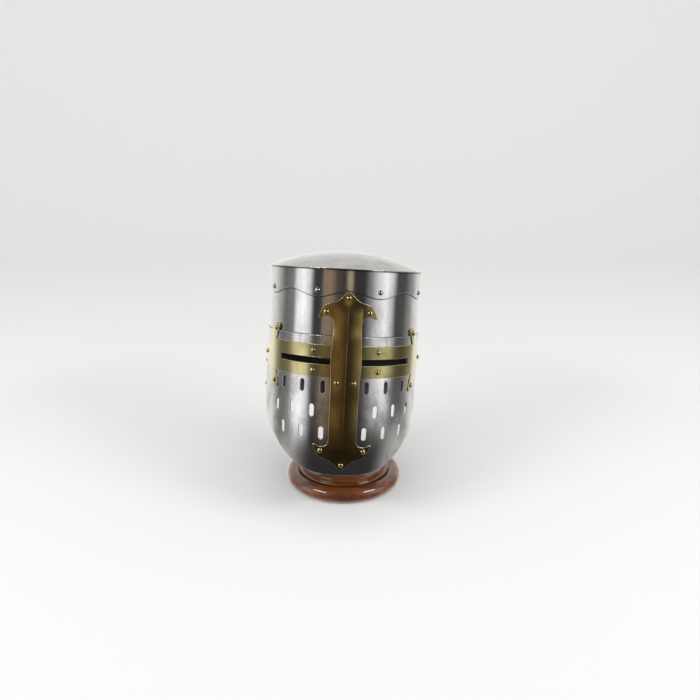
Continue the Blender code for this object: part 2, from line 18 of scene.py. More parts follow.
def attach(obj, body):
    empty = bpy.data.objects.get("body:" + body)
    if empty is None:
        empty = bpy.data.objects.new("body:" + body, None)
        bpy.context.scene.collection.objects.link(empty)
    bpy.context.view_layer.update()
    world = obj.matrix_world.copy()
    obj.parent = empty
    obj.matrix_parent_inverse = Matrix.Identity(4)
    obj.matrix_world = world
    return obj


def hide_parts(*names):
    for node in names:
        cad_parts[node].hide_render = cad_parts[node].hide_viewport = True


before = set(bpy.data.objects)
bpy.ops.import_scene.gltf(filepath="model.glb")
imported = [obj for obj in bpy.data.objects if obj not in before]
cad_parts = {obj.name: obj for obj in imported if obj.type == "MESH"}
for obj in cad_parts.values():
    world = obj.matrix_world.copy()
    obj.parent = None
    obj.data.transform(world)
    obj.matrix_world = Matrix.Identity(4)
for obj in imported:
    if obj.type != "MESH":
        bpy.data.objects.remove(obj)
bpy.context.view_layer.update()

# %% [markdown]
# ## The wall that every plate follows
#
# Seen from above, the helm is an oval that draws in a little towards the chin. All heights are measured
# down from the crown's rim. A flat sheet has its length round the wall along X, its height along Y and
# its thickness along Z. Rolling it is then one formula, applied to every point.
# The Simple Deform modifier can bend a sheet too, but only into a circle.
# The dome rests on the round top of the stand, tipped back so that the helm looks up a little.

# %% Sizes of the wall, and how the helm sits
RIM_HEIGHT = 0.337
CROWN_INSIDE = 0.0226
LEAN = math.radians(2.9)
TIP = math.radians(12.0)
HEAD_CURVE = 0.0600
HEAD_GAP = 0.0005

HALF_WIDTH = 0.1073
HALF_DEPTH = 0.1243
TAPER_TOP = -0.175
TAPER_HEIGHT = 0.102
TAPER = 0.07
TAPER_POWER = 2.4

GAP = 0.0003
SHEET = 0.0014
BAND_SHEET = 0.0010
BAR_SHEET = 0.0012
LEVEL_SKULL = -SHEET
LEVEL_FACE = GAP
LEVEL_BAND = LEVEL_FACE + SHEET + GAP
LEVEL_OVER_BAND = LEVEL_BAND + BAND_SHEET + GAP

turns = np.radians(np.linspace(-360.0, 360.0, 14401))
steps = np.hypot(HALF_WIDTH * np.cos(turns), HALF_DEPTH * np.sin(turns))
lengths = np.concatenate(([0.0], np.cumsum((steps[1:] + steps[:-1]) / 2.0 * np.diff(turns))))
lengths -= np.interp(0.0, turns, lengths)
round_the_wall = 2 * float(np.interp(math.pi, turns, lengths))
helm_turn = Matrix.Rotation(-TIP, 4, "X") @ Matrix.Rotation(LEAN, 4, "Y")
helm_axis = helm_turn @ Vector((0.0, 0.0, 1.0))
head_middle = RIM_HEIGHT + (CROWN_INSIDE - HEAD_CURVE - HEAD_GAP) * helm_axis.z
seat = (Matrix.Translation(Vector((0.0, 0.0, head_middle)) + (HEAD_CURVE + HEAD_GAP) * helm_axis)
        @ helm_turn @ Matrix.Translation((0.0, 0.0, -CROWN_INSIDE)))
print("length round the wall:", round(round_the_wall, 4), "m")


# %% Points on the wall, and back to the row's frame
def along(degrees):
    """The length round the wall from the front to an angle."""
    return float(np.interp(math.radians(degrees), turns, lengths))


def wall(points, lift=None):
    """Rolls an array of flat points: length, height, distance outwards."""
    length, height, out = points.T
    if lift is not None:
        out = out + lift(length, height)
    angle = np.interp(length, lengths, turns)
    depth = np.clip((TAPER_TOP - height) / TAPER_HEIGHT, 0.0, None)
    scale = 1.0 - TAPER * depth ** TAPER_POWER
    slope = TAPER * TAPER_POWER / TAPER_HEIGHT * depth ** (TAPER_POWER - 1.0)
    base = np.stack([HALF_WIDTH * scale * np.sin(angle), -HALF_DEPTH * scale * np.cos(angle), height], -1)
    normal = np.stack([HALF_DEPTH * np.sin(angle), -HALF_WIDTH * np.cos(angle),
                       -HALF_WIDTH * HALF_DEPTH * slope], -1)
    normal /= np.linalg.norm(normal, axis=1, keepdims=True)
    return base + out[:, None] * normal


def ramp(value, start, end):
    """0 before start, 1 after end, and a smooth rise between them."""
    share = np.clip((value - start) / (end - start), 0.0, 1.0)
    return share * share * (3.0 - 2.0 * share)


def only(piece):
    """Selects one object alone, as a click in the viewport does."""
    bpy.ops.object.select_all(action="DESELECT")
    piece.select_set(True)
    bpy.context.view_layer.objects.active = piece


print("front of the wall:", np.round(wall(np.array([[0.0, 0.0, 0.0]]))[0], 4))

# %% [markdown]
# ## Cutting a sheet flat
#
# A flat 2D curve fills itself, and any loop drawn inside it becomes a hole, so one curve object is a
# whole sheet with its slots. Its extrude value gives the thickness and its bevel rounds the edges.
# Booleans would work too, but the bevel of a curve gives every slot the same clean light-catching rim.


# %% Drawing and cutting
WELD = 1e-6


def oblong(x, z, width, height, count=9):
    """An upright slot with round ends."""
    radius = width / 2
    straight = height / 2 - radius
    points = []
    for middle, start in ((z + straight, 0.0), (z - straight, math.pi)):
        for i in range(count):
            turn = start + math.pi * i / (count - 1)
            points.append((x + radius * math.cos(turn), middle + radius * math.sin(turn)))
    return points


def area(loop):
    """The area inside a loop, negative if it runs clockwise."""
    pairs = zip(loop, loop[1:] + loop[:1])
    return sum(a[0] * b[1] - b[0] * a[1] for a, b in pairs) / 2


def cut_flat(name, outline, holes, thickness, edge):
    """A flat sheet as a mesh, its outer face up, its inner face at zero."""
    drawing = bpy.data.curves.new(name, "CURVE")
    drawing.dimensions = "2D"
    drawing.fill_mode = "BOTH"
    for number, loop in enumerate([outline] + holes):
        wanted = 1 if number == 0 else -1
        if area(loop) * wanted < 0:
            loop = loop[::-1]
        spline = drawing.splines.new("POLY")
        spline.points.add(len(loop) - 1)
        for point, (x, z) in zip(spline.points, loop):
            point.co = (x, z, 0.0, 1.0)
        spline.use_cyclic_u = True
    drawing.extrude = thickness / 2 - edge
    drawing.bevel_depth = edge
    drawing.bevel_resolution = 2
    drawing.offset = -edge
    piece = bpy.data.objects.new(name, drawing)
    bpy.context.scene.collection.objects.link(piece)
    only(piece)
    bpy.ops.object.convert(target="MESH")
    piece = bpy.context.view_layer.objects.active
    bpy.ops.object.mode_set(mode="EDIT")
    bpy.ops.mesh.select_all(action="SELECT")
    bpy.ops.mesh.remove_doubles(threshold=WELD)
    bpy.ops.mesh.normals_make_consistent(inside=False)
    bpy.ops.transform.translate(value=(0.0, 0.0, thickness / 2))
    bpy.ops.object.mode_set(mode="OBJECT")
    return piece


print("area of one slot:", round(abs(area(oblong(0.0, 0.0, 0.0065, 0.017))) * 1e6, 1), "mm2")

# %% [markdown]
# ## Rolling it up
#
# A sheet only bends where it has edges, so it is first scored with bisect at many even lines. Then every
# point goes through the formula. Polished metal shows each small error of the shading, so the corner
# normals aren't guessed from the faces: they are turned by the same formula as the points.
# One attribute marks the points of the inner face, so that the material can leave that side dull, and
# another marks the rounded edges, which the material paints pale as a painted highlight and roughens as wear.


# %% Scoring and rolling
# a normal nearer to Z than this belongs to a flat face
STRAIGHT = 0.999
# points below this share of the thickness lie on the inner face
INNER_SHARE = 0.3
# a score closer than this to the end of a sheet is left out
SCORE_MARGIN = 1e-4


def mark_points(mesh, name, values):
    """Stores one number for each point, for a material to read."""
    mark = mesh.attributes.new(name, "FLOAT", "POINT")
    mark.data.foreach_set("value", np.array(values, dtype=np.float32))


def slopes(points, lift, small, axes):
    """How fast the rolled points move along each flat axis."""
    sides = []
    for axis in axes:
        shift = np.zeros(3)
        shift[axis] = small
        sides.append((wall(points + shift, lift) - wall(points - shift, lift)) / (2 * small))
    return sides


def score(piece, stops, axis):
    """Bisects a flat sheet across its whole width at each stop along one axis."""
    only(piece)
    bpy.ops.object.mode_set(mode="EDIT")
    for stop in stops:
        bpy.ops.mesh.select_all(action="SELECT")
        point = (stop, 0.0, 0.0) if axis == 0 else (0.0, stop, 0.0)
        direction = (1.0, 0.0, 0.0) if axis == 0 else (0.0, 1.0, 0.0)
        bpy.ops.mesh.bisect(plane_co=point, plane_no=direction, threshold=WELD)
    bpy.ops.mesh.select_all(action="SELECT")
    bpy.ops.mesh.quads_convert_to_tris(quad_method="BEAUTY", ngon_method="BEAUTY")
    bpy.ops.object.mode_set(mode="OBJECT")


def flat_normals(mesh):
    """One normal for each point: straight up or down on a flat face, and the mean round an edge."""
    normals = np.zeros((len(mesh.vertices), 3))
    for number, vert in enumerate(mesh.vertices):
        normals[number] = vert.normal
    for face in mesh.polygons:
        if abs(face.normal.z) > STRAIGHT:
            for number in face.vertices:
                normals[number] = (0.0, 0.0, math.copysign(1.0, face.normal.z))
    return normals


def roll_up(piece, level, lift=None, rows=0.004, step=2.0):
    """Scores a flat sheet, rolls it round the wall at its level, and stands it on its seat."""
    mesh = piece.data
    flat = np.array([vert.co for vert in mesh.vertices])
    low, high = flat.min(0), flat.max(0)
    lines = [along(i * step) for i in range(-180, 181)]
    score(piece, [x for x in lines if low[0] + SCORE_MARGIN < x < high[0] - SCORE_MARGIN], 0)
    count = max(1, round((high[1] - low[1]) / rows))
    score(piece, [low[1] + (high[1] - low[1]) * i / count for i in range(1, count)], 1)
    flat = np.array([vert.co for vert in mesh.vertices], dtype=float)
    normals = flat_normals(mesh)
    mark_points(mesh, "inside", flat[:, 2] < INNER_SHARE * high[2])
    mark_points(mesh, "wear_and_highlight", np.abs(normals[:, 2]) < STRAIGHT)
    flat[:, 2] += level
    turned = np.array(seat.to_3x3())
    rolled = wall(flat, lift)
    jacobian = np.stack(slopes(flat, lift, 2e-5, (0, 1, 2)), -1)
    bent = np.einsum("nij,nj->ni", np.linalg.inv(jacobian).transpose(0, 2, 1), normals)
    bent = bent @ turned.T
    bent /= np.linalg.norm(bent, axis=1, keepdims=True)
    placed = rolled @ turned.T + np.array(seat.translation)
    for vert, point in zip(mesh.vertices, placed):
        vert.co = point
    mesh.shade_smooth()
    mesh.normals_split_custom_set_from_vertices([tuple(n) for n in bent])
    print(piece.name, len(mesh.polygons), "faces")
    return piece


def finish_piece(piece, material, slot_name, *nodes):
    """Gives a piece its material, sets it on the body, and hides the frame's nodes that it stands for."""
    piece.data.materials.clear()
    piece.data.materials.append(material)
    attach(piece, "root")
    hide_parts(*nodes)


print("rolling is ready")

# %% [markdown]
# ## Finishes
#
# Polished steel is nearly a mirror, so what makes it look real is small: faint upright polishing marks,
# slight waves where the sheet was hammered, and dull grey stains. Each is a noise on Object coordinates,
# stretched to the size of the mark. The waves go into a bump, the stains into colour and roughness.


# %% Helpers for materials
# nearly all of a noise lies between these two
NOISE_LOW = 0.3
NOISE_HIGH = 0.7


def start_material(name):
    """A new material with its nodes, its links and its shader."""
    made = bpy.data.materials.new(name)
    made.use_nodes = True
    return made, made.node_tree.nodes, made.node_tree.links, made.node_tree.nodes["Principled BSDF"]


def noise_at(nodes, links, stretch, detail=4.0, roughness=0.55):
    """A noise on Object coordinates, with a scale of its own along each axis."""
    place = nodes.new("ShaderNodeTexCoord")
    mapping = nodes.new("ShaderNodeMapping")
    mapping.inputs["Scale"].default_value = stretch
    noise = nodes.new("ShaderNodeTexNoise")
    noise.inputs["Scale"].default_value = 1.0
    noise.inputs["Detail"].default_value = detail
    noise.inputs["Roughness"].default_value = roughness
    links.new(place.outputs["Object"], mapping.inputs["Vector"])
    links.new(mapping.outputs["Vector"], noise.inputs["Vector"])
    return noise.outputs["Fac"]


def blend_colors(nodes, links, factor, stops):
    """A colour ramp: stops are places from 0 to 1, each with its colour."""
    colors = nodes.new("ShaderNodeValToRGB")
    while len(colors.color_ramp.elements) < len(stops):
        colors.color_ramp.elements.new(0.5)
    for element, (place, color) in zip(colors.color_ramp.elements, stops):
        element.position = place
        element.color = (*color, 1.0)
    links.new(factor, colors.inputs["Fac"])
    return colors.outputs["Color"]


def span(nodes, links, factor, low, high):
    """Spreads a noise between two values."""
    spread = nodes.new("ShaderNodeMapRange")
    spread.inputs["From Min"].default_value = NOISE_LOW
    spread.inputs["From Max"].default_value = NOISE_HIGH
    spread.inputs["To Min"].default_value = low
    spread.inputs["To Max"].default_value = high
    links.new(factor, spread.inputs["Value"])
    return spread.outputs["Result"]


def smooth_range(nodes, links, value, start, end, low=0.0, high=1.0):
    """Goes smoothly from low to high while a value goes from start to end."""
    change = nodes.new("ShaderNodeMapRange")
    change.interpolation_type = "SMOOTHSTEP"
    change.inputs["From Min"].default_value = start
    change.inputs["From Max"].default_value = end
    change.inputs["To Min"].default_value = low
    change.inputs["To Max"].default_value = high
    links.new(value, change.inputs["Value"])
    return change.outputs["Result"]


def mix_colors(nodes, links, share, low, high):
    """Mixes two colours, each a socket or a plain colour."""
    mix = nodes.new("ShaderNodeMix")
    mix.data_type = "RGBA"
    links.new(share, mix.inputs[0])
    for socket, value in ((mix.inputs[6], low), (mix.inputs[7], high)):
        if isinstance(value, tuple):
            socket.default_value = (*value, 1.0)
        else:
            links.new(value, socket)
    return mix.outputs[2]


def work_out(nodes, links, operation, first, second=None):
    """A Math node on sockets or plain numbers."""
    node = nodes.new("ShaderNodeMath")
    node.operation = operation
    for socket, value in zip(node.inputs, (first, second)):
        if isinstance(value, float):
            socket.default_value = value
        elif value is not None:
            links.new(value, socket)
    return node.outputs["Value"]


def marked(nodes, name):
    """The number that a piece's own attribute holds at a point."""
    mark = nodes.new("ShaderNodeAttribute")
    mark.attribute_name = name
    return mark.outputs["Fac"]


def bump(nodes, links, shader, heights):
    """Chains bumps, each a height with its strength and its depth in metres, into the shader."""
    last = None
    for height, strength, depth in heights:
        node = nodes.new("ShaderNodeBump")
        node.inputs["Strength"].default_value = strength
        node.inputs["Distance"].default_value = depth
        links.new(height, node.inputs["Height"])
        if last is not None:
            links.new(last, node.inputs["Normal"])
        last = node.outputs["Normal"]
    links.new(last, shader.inputs["Normal"])


print("material helpers are ready")

# %% [markdown]
# Where one plate lies over another, its edge shades the corner, and that shade is painted as a thin dark
# line.
# The line follows the plate's edge, so its place is worked out in the helm's own frame: the Mapping
# node takes the lean and the tip off the Object coordinates, and what is left is the height and the
# angle round the wall.


# %% Dark lines under the edges
SKIRT_MIDDLE = -0.0335
SKIRT_WAVE = 0.0045
SKIRT_WAVES = 8
LIP_DEPTH = 0.0016
FACE_TOP = -0.089
FACE_END = 98.0
# painted shade: the colour laid in thin lines under overlapping edges and at the feet of rivet heads
PAINTED_SHADE = (0.045, 0.040, 0.036)
DULL = (0.24, 0.235, 0.23)
LIP_LINE = 0.0026
SKIRT_LINE = 0.0022
FACE_LINE = 0.0012
LINE_MARGIN = 0.0003


def in_helm_frame(nodes, links):
    """The height on the helm and the angle round its wall, 0 in front."""
    place = nodes.new("ShaderNodeTexCoord")
    back = seat.inverted()
    mapping = nodes.new("ShaderNodeMapping")
    mapping.inputs["Location"].default_value = back.translation
    mapping.inputs["Rotation"].default_value = back.to_euler()
    split_place = nodes.new("ShaderNodeSeparateXYZ")
    links.new(place.outputs["Object"], mapping.inputs["Vector"])
    links.new(mapping.outputs["Vector"], split_place.inputs["Vector"])
    aside = work_out(nodes, links, "DIVIDE", split_place.outputs["X"], HALF_WIDTH)
    ahead = work_out(nodes, links, "DIVIDE", split_place.outputs["Y"], -HALF_DEPTH)
    return split_place.outputs["Z"], work_out(nodes, links, "ARCTAN2", aside, ahead)


def dark_line(nodes, links, distance, width):
    """1 right at an edge, 0 above it and 0 again from one width below it."""
    fade = smooth_range(nodes, links, distance, 0.0, width, 1.0, 0.0)
    below = work_out(nodes, links, "GREATER_THAN", distance, -LINE_MARGIN)
    return work_out(nodes, links, "MULTIPLY", fade, below)


def rivet_rim(nodes, links):
    """The painted shade at the foot of a rivet head."""
    return marked(nodes, "rim")


def lip_line(nodes, links):
    """The painted shade on the crown's skirt, under its lip."""
    height, _ = in_helm_frame(nodes, links)
    return dark_line(nodes, links, work_out(nodes, links, "SUBTRACT", -LIP_DEPTH, height), LIP_LINE)


def skull_lines(nodes, links):
    """The painted shade lines on the skull plate, under the wavy skirt and over the face plate."""
    height, angle = in_helm_frame(nodes, links)
    wave = work_out(nodes, links, "COSINE", work_out(nodes, links, "MULTIPLY", angle, float(SKIRT_WAVES)))
    edge = work_out(nodes, links, "ADD", work_out(nodes, links, "MULTIPLY", wave, SKIRT_WAVE), SKIRT_MIDDLE)
    under_skirt = dark_line(nodes, links, work_out(nodes, links, "SUBTRACT", edge, height), SKIRT_LINE)
    over_face = dark_line(nodes, links, work_out(nodes, links, "SUBTRACT", height, FACE_TOP), FACE_LINE)
    in_front = work_out(nodes, links, "LESS_THAN", work_out(nodes, links, "ABSOLUTE", angle),
                        math.radians(FACE_END))
    over_face = work_out(nodes, links, "MULTIPLY", over_face, in_front)
    return work_out(nodes, links, "MAXIMUM", under_skirt, over_face)


print("dark lines: under the lip, under the skirt and over the face plate")


# %% Polished steel
CLEAN_STEEL = (0.66, 0.65, 0.64)
BRIGHT_STEEL = (0.74, 0.73, 0.72)
# the pale edge colour is a painted highlight; the matt roughness below it is wear
EDGE_HIGHLIGHT_STEEL = (0.88, 0.87, 0.85)
WORN_ROUGH = 0.42
INSIDE_ROUGH = 0.5


def worn_and_highlit_edges(nodes, links, color, rough, pale):
    """Paints a highlight on what the attribute marks as an edge, and roughens it as wear does."""
    wear_and_highlight = marked(nodes, "wear_and_highlight")
    matt = work_out(nodes, links, "MULTIPLY", wear_and_highlight, WORN_ROUGH)
    return mix_colors(nodes, links, wear_and_highlight, color, pale), work_out(nodes, links, "MAXIMUM", rough, matt)


def polished_steel(name, stain, rough_low, rough_high, wave, lines=None):
    """Steel with stains, upright marks and waves, dull on the inner side."""
    made, nodes, links, shader = start_material(name)
    stains = noise_at(nodes, links, (38.0, 38.0, 24.0), 6.0, 0.62)
    marks = noise_at(nodes, links, (900.0, 900.0, 26.0), 3.0, 0.5)
    waves = noise_at(nodes, links, (20.0, 20.0, 9.0), 1.5, 0.4)
    shader.inputs["Metallic"].default_value = 1.0
    color = blend_colors(nodes, links, stains, [(0.32, stain), (0.50, CLEAN_STEEL), (0.72, BRIGHT_STEEL)])
    if lines is not None:
        color = mix_colors(nodes, links, lines(nodes, links), color, PAINTED_SHADE)
    inside = marked(nodes, "inside")
    color = mix_colors(nodes, links, inside, color, DULL)
    rough = work_out(nodes, links, "MAXIMUM", span(nodes, links, stains, rough_high, rough_low),
                     work_out(nodes, links, "MULTIPLY", inside, INSIDE_ROUGH))
    color, rough = worn_and_highlit_edges(nodes, links, color, rough, EDGE_HIGHLIGHT_STEEL)
    links.new(color, shader.inputs["Base Color"])
    links.new(rough, shader.inputs["Roughness"])
    bump(nodes, links, shader, [(waves, wave, 0.004), (marks, 0.05, 0.0002)])
    return made


skull_steel = polished_steel("skull_steel", (0.54, 0.53, 0.52), 0.07, 0.15, 0.10, skull_lines)
crown_steel = polished_steel("crown_steel", (0.54, 0.53, 0.52), 0.07, 0.15, 0.10, lip_line)
back_steel = polished_steel("back_steel", (0.54, 0.53, 0.52), 0.08, 0.16, 0.10)
face_steel = polished_steel("face_steel", (0.40, 0.39, 0.37), 0.12, 0.25, 0.18)
# rivet heads get painted shade at their foot through the rim attribute
rivet_steel = polished_steel("rivet_steel", (0.40, 0.39, 0.38), 0.10, 0.20, 0.02, rivet_rim)
print("steels:", skull_steel.name, crown_steel.name, back_steel.name, face_steel.name, rivet_steel.name)

# %% [markdown]
# Brass tarnishes to olive and brown, most where a cloth doesn't reach. The same helpers make it: a
# warm base, an olive tarnish in patches, and a finer, stronger wave than the steel has. The ends of
# the band stick out at the sides, where a pale painted reflection lightens their colour.


# %% Aged brass
# the pale colour of a painted highlight on the brass's rounded edges
EDGE_HIGHLIGHT_BRASS = (0.86, 0.78, 0.50)
# angles round the helm over which the band's ends go over into a painted reflection
END_REFLECTION_START = 54.0
END_REFLECTION_END = 64.0


def aged_brass(name, tarnish, clean, bright, rough_low, rough_high, end_reflection=None, lines=None):
    """Brass with tarnish in patches, fine marks and waves."""
    made, nodes, links, shader = start_material(name)
    patches = noise_at(nodes, links, (30.0, 30.0, 22.0), 6.0, 0.6)
    marks = noise_at(nodes, links, (700.0, 700.0, 40.0), 3.0, 0.5)
    waves = noise_at(nodes, links, (26.0, 26.0, 14.0), 2.0, 0.4)
    shader.inputs["Metallic"].default_value = 1.0
    color = blend_colors(nodes, links, patches, [(0.34, tarnish), (0.56, clean), (0.75, bright)])
    # paler towards the band's ends: a painted reflection of the pale room
    if end_reflection is not None:
        _, angle = in_helm_frame(nodes, links)
        ends = smooth_range(nodes, links, work_out(nodes, links, "ABSOLUTE", angle),
                            math.radians(END_REFLECTION_START), math.radians(END_REFLECTION_END))
        color = mix_colors(nodes, links, ends, color, end_reflection)
    if lines is not None:
        color = mix_colors(nodes, links, lines(nodes, links), color, PAINTED_SHADE)
    rough = span(nodes, links, patches, rough_high, rough_low)
    color, rough = worn_and_highlit_edges(nodes, links, color, rough, EDGE_HIGHLIGHT_BRASS)
    links.new(color, shader.inputs["Base Color"])
    links.new(rough, shader.inputs["Roughness"])
    bump(nodes, links, shader, [(waves, 0.12, 0.004), (marks, 0.06, 0.0002)])
    return made


# the last colour is the painted reflection on the band's ends
band_brass = aged_brass("band_brass", (0.32, 0.27, 0.11), (0.50, 0.44, 0.21), (0.62, 0.55, 0.30), 0.15, 0.30,
                        end_reflection=(0.90, 0.84, 0.60))
bar_brass = aged_brass("bar_brass", (0.26, 0.18, 0.06), (0.44, 0.32, 0.12), (0.56, 0.43, 0.19), 0.14, 0.26)
rivet_brass = aged_brass("rivet_brass", (0.60, 0.49, 0.24), (0.72, 0.60, 0.32), (0.80, 0.69, 0.40),
                         0.08, 0.15, lines=rivet_rim)
print("brasses:", band_brass.name, bar_brass.name, rivet_brass.name)

# %% [markdown]
# The stand is stained hardwood under thick gloss varnish. Its grain is a noise stretched along one
# axis, which a turned piece shows as long streaks. The varnish is the shader's coat, which lies over
# the wood and mirrors the studio lights. A painted shadow darkens the wood at its foot.


# %% Varnished wood
DARK_GRAIN = (0.060, 0.014, 0.003)
MIDDLE_GRAIN = (0.18, 0.047, 0.009)
PALE_GRAIN = (0.34, 0.100, 0.020)
# the colour of the painted shadow where the base meets the floor
FOOT_SHADOW = (0.012, 0.004, 0.002)
FOOT_LINE = 0.0035


def varnished_wood(name):
    """Stained wood with a streaky grain under gloss varnish, with a painted shadow at its foot."""
    made, nodes, links, shader = start_material(name)
    grain = noise_at(nodes, links, (10.0, 95.0, 95.0), 6.0, 0.6)
    color = blend_colors(nodes, links, grain, [(0.30, DARK_GRAIN), (0.52, MIDDLE_GRAIN), (0.74, PALE_GRAIN)])
    place = nodes.new("ShaderNodeTexCoord")
    split_place = nodes.new("ShaderNodeSeparateXYZ")
    links.new(place.outputs["Object"], split_place.inputs["Vector"])
    # a painted shadow along the foot of the base
    foot = dark_line(nodes, links, split_place.outputs["Z"], FOOT_LINE)
    color = mix_colors(nodes, links, foot, color, FOOT_SHADOW)
    links.new(color, shader.inputs["Base Color"])
    shader.inputs["Roughness"].default_value = 0.38
    shader.inputs["Coat Weight"].default_value = 1.0
    shader.inputs["Coat Roughness"].default_value = 0.04
    shader.inputs["Coat IOR"].default_value = 1.65
    bump(nodes, links, shader, [(grain, 0.03, 0.0004)])
    return made


stand_wood = varnished_wood("stand_wood")
print("wood:", stand_wood.name)

# %% [markdown]
# ## Skull plate
#
# The plain upper wall. It is a rectangle as long as the way round the helm, so its two ends meet at
# the back, where the real plate has its join. A cylinder would give the same wall, but not the join.

# %% Skull plate
SKULL_TOP = -0.004
SKULL_BOTTOM = -0.1145
EDGE = 0.00045
JOIN = 0.0002


def rectangle(left, right, bottom, top):
    """A loop with four corners."""
    return [(left, bottom), (right, bottom), (right, top), (left, top)]


half_round = round_the_wall / 2 - JOIN
skull = cut_flat("skull_wall", rectangle(-half_round, half_round, SKULL_BOTTOM, SKULL_TOP), [], SHEET, EDGE)
roll_up(skull, LEVEL_SKULL)
finish_piece(skull, skull_steel, "polished_steel", "skull_plate")

# %% [markdown]
# ## Crown
#
# A domed top is welded to a skirt with a wavy lower edge, and stands a little over it as a lip. The
# skirt is rolled like the other plates, with a cosine for its edge. The dome is a profile spun round.

# %% The crown's skirt
LIP_OVERHANG = 0.0016
WAVE_POINTS = 240
edge_points = []
for i in range(WAVE_POINTS + 1):
    degrees = -180.0 + 360.0 * i / WAVE_POINTS
    height = SKIRT_MIDDLE + SKIRT_WAVE * math.cos(SKIRT_WAVES * math.radians(degrees))
    edge_points.append((max(-half_round, min(half_round, along(degrees))), height))
skirt_outline = edge_points + [(half_round, -LIP_DEPTH), (-half_round, -LIP_DEPTH)]
skirt = cut_flat("crown", skirt_outline, [], SHEET, EDGE)
roll_up(skirt, GAP)


# %% Spinning a profile
def spun(name, profile, steps, weld):
    """Spins a profile of radius and height once round, and leaves the piece in edit mode."""
    bpy.ops.object.select_all(action="DESELECT")
    bpy.ops.mesh.primitive_plane_add(size=0.01, location=(0.0, 0.0, 0.0))
    made = bpy.context.view_layer.objects.active
    made.name = name
    bpy.ops.object.mode_set(mode="EDIT")
    drawn = bmesh.from_edit_mesh(made.data)
    bmesh.ops.delete(drawn, geom=list(drawn.verts), context="VERTS")
    chain = [drawn.verts.new((radius, 0.0, height)) for radius, height in profile]
    for first, second in zip(chain, chain[1:]):
        drawn.edges.new((first, second))
    bmesh.update_edit_mesh(made.data)
    bpy.ops.mesh.select_all(action="SELECT")
    bpy.ops.mesh.spin(steps=steps, angle=2 * math.pi, center=(0.0, 0.0, 0.0), axis=(0.0, 0.0, 1.0))
    bpy.ops.mesh.select_all(action="SELECT")
    bpy.ops.mesh.remove_doubles(threshold=weld)
    bpy.ops.mesh.normals_make_consistent(inside=False)
    return made


# %% The crown's dome and lip
DOME_RISE = 0.024
DOME_POWER = 2.1
DOME_SKEW = 0.001
DOME_STEPS = 192
DOME_WELD = 1e-5


def dome_height(share, rise):
    """The dome's height at a share of the way out from its middle."""
    return rise * (1.0 - share ** DOME_POWER)


lip_round = LIP_DEPTH / 2
rim_share = lip_round / HALF_WIDTH
profile = [(max(0.0, i / 32 - rim_share), dome_height(i / 32, DOME_RISE)) for i in range(33)]
for i in range(1, 7):
    turn = math.pi / 2 - math.pi * i / 6
    profile.append((1.0 - rim_share + rim_share * math.cos(turn), -lip_round + lip_round * math.sin(turn)))
inner_edge = 1.0 - (LIP_OVERHANG + SHEET) / HALF_WIDTH
profile.append((inner_edge, -LIP_DEPTH))
for i in range(24, -1, -1):
    share = i / 24
    profile.append((inner_edge * share, dome_height(share, CROWN_INSIDE) - LIP_DEPTH * share))

dome = spun("dome", profile, DOME_STEPS, DOME_WELD)
lip_reach = GAP + SHEET + LIP_OVERHANG
bpy.ops.transform.resize(value=(HALF_WIDTH + lip_reach, HALF_DEPTH + lip_reach, 1.0),
                         center_override=(0.0, 0.0, 0.0))
bpy.ops.object.mode_set(mode="OBJECT")
inside = []
for vert in dome.data.vertices:
    share = math.hypot(vert.co.x / (HALF_WIDTH + lip_reach), vert.co.y / (HALF_DEPTH + lip_reach))
    under = dome_height(share, CROWN_INSIDE) - LIP_DEPTH * share
    inside.append(float(share < inner_edge and vert.co.z < under + SHEET / 3))
    across = vert.co.x / HALF_WIDTH
    share = min(1.0, math.hypot(across, vert.co.y / HALF_DEPTH))
    vert.co.z += DOME_SKEW * across * (1.0 - share * share)
mark_points(dome.data, "inside", inside)
dome.data.transform(seat)
only(dome)
bpy.ops.object.shade_smooth_by_angle(angle=math.radians(50))
bpy.ops.object.select_all(action="DESELECT")
dome.select_set(True)
skirt.select_set(True)
bpy.context.view_layer.objects.active = skirt
bpy.ops.object.join()
finish_piece(skirt, crown_steel, "polished_steel", "crown_cap")
print("crown:", len(skirt.data.polygons), "faces")

# %% [markdown]
# ## Face plate
#
# The face plate carries the sights, which are the two long slots for the eyes, and the breaths, which
# are the small upright slots. Its lower edge is deepest at the chin and rises to the sides as a power
# of the sine of the angle. All slots are loops inside the drawing, so they need no cutters.

# %% Face plate
FACE_CHIN = -0.277
FACE_SIDE = -0.208
FACE_EDGE_POWER = 3.5
SIGHT_TOP = -0.1184
SIGHT_BOTTOM = -0.1270
SIGHT_INNER = 9.0
SIGHT_OUTER = 53.0
BREATH_WIDTH = 0.0065
BREATH_HEIGHT = 0.017
BREATH_ROWS = (
    (-0.1570, 15.5, 31.0, 48.0),
    (-0.1895, 23.0, 39.0, 55.0),
    (-0.2190, 15.5, 31.0, 48.0),
)

sights = [rectangle(*sorted((side * along(SIGHT_INNER), side * along(SIGHT_OUTER))), SIGHT_BOTTOM, SIGHT_TOP)
          for side in (-1, 1)]
breaths = [oblong(side * along(degrees), row[0], BREATH_WIDTH, BREATH_HEIGHT)
           for row in BREATH_ROWS for degrees in row[1:] for side in (-1, 1)]
face_outline = []
for i in range(131):
    degrees = -FACE_END + 2 * FACE_END * i / 130
    rise = abs(math.sin(math.radians(min(abs(degrees), 90.0)))) ** FACE_EDGE_POWER
    face_outline.append((along(degrees), FACE_CHIN + (FACE_SIDE - FACE_CHIN) * rise))
face_outline += [(along(FACE_END), FACE_TOP), (-along(FACE_END), FACE_TOP)]
face = cut_flat("face_mask", face_outline, sights + breaths, SHEET, EDGE)
roll_up(face, LEVEL_FACE)
finish_piece(face, face_steel, "polished_steel", "face_plate")
print("slots:", len(sights), "sights and", len(breaths), "breaths")

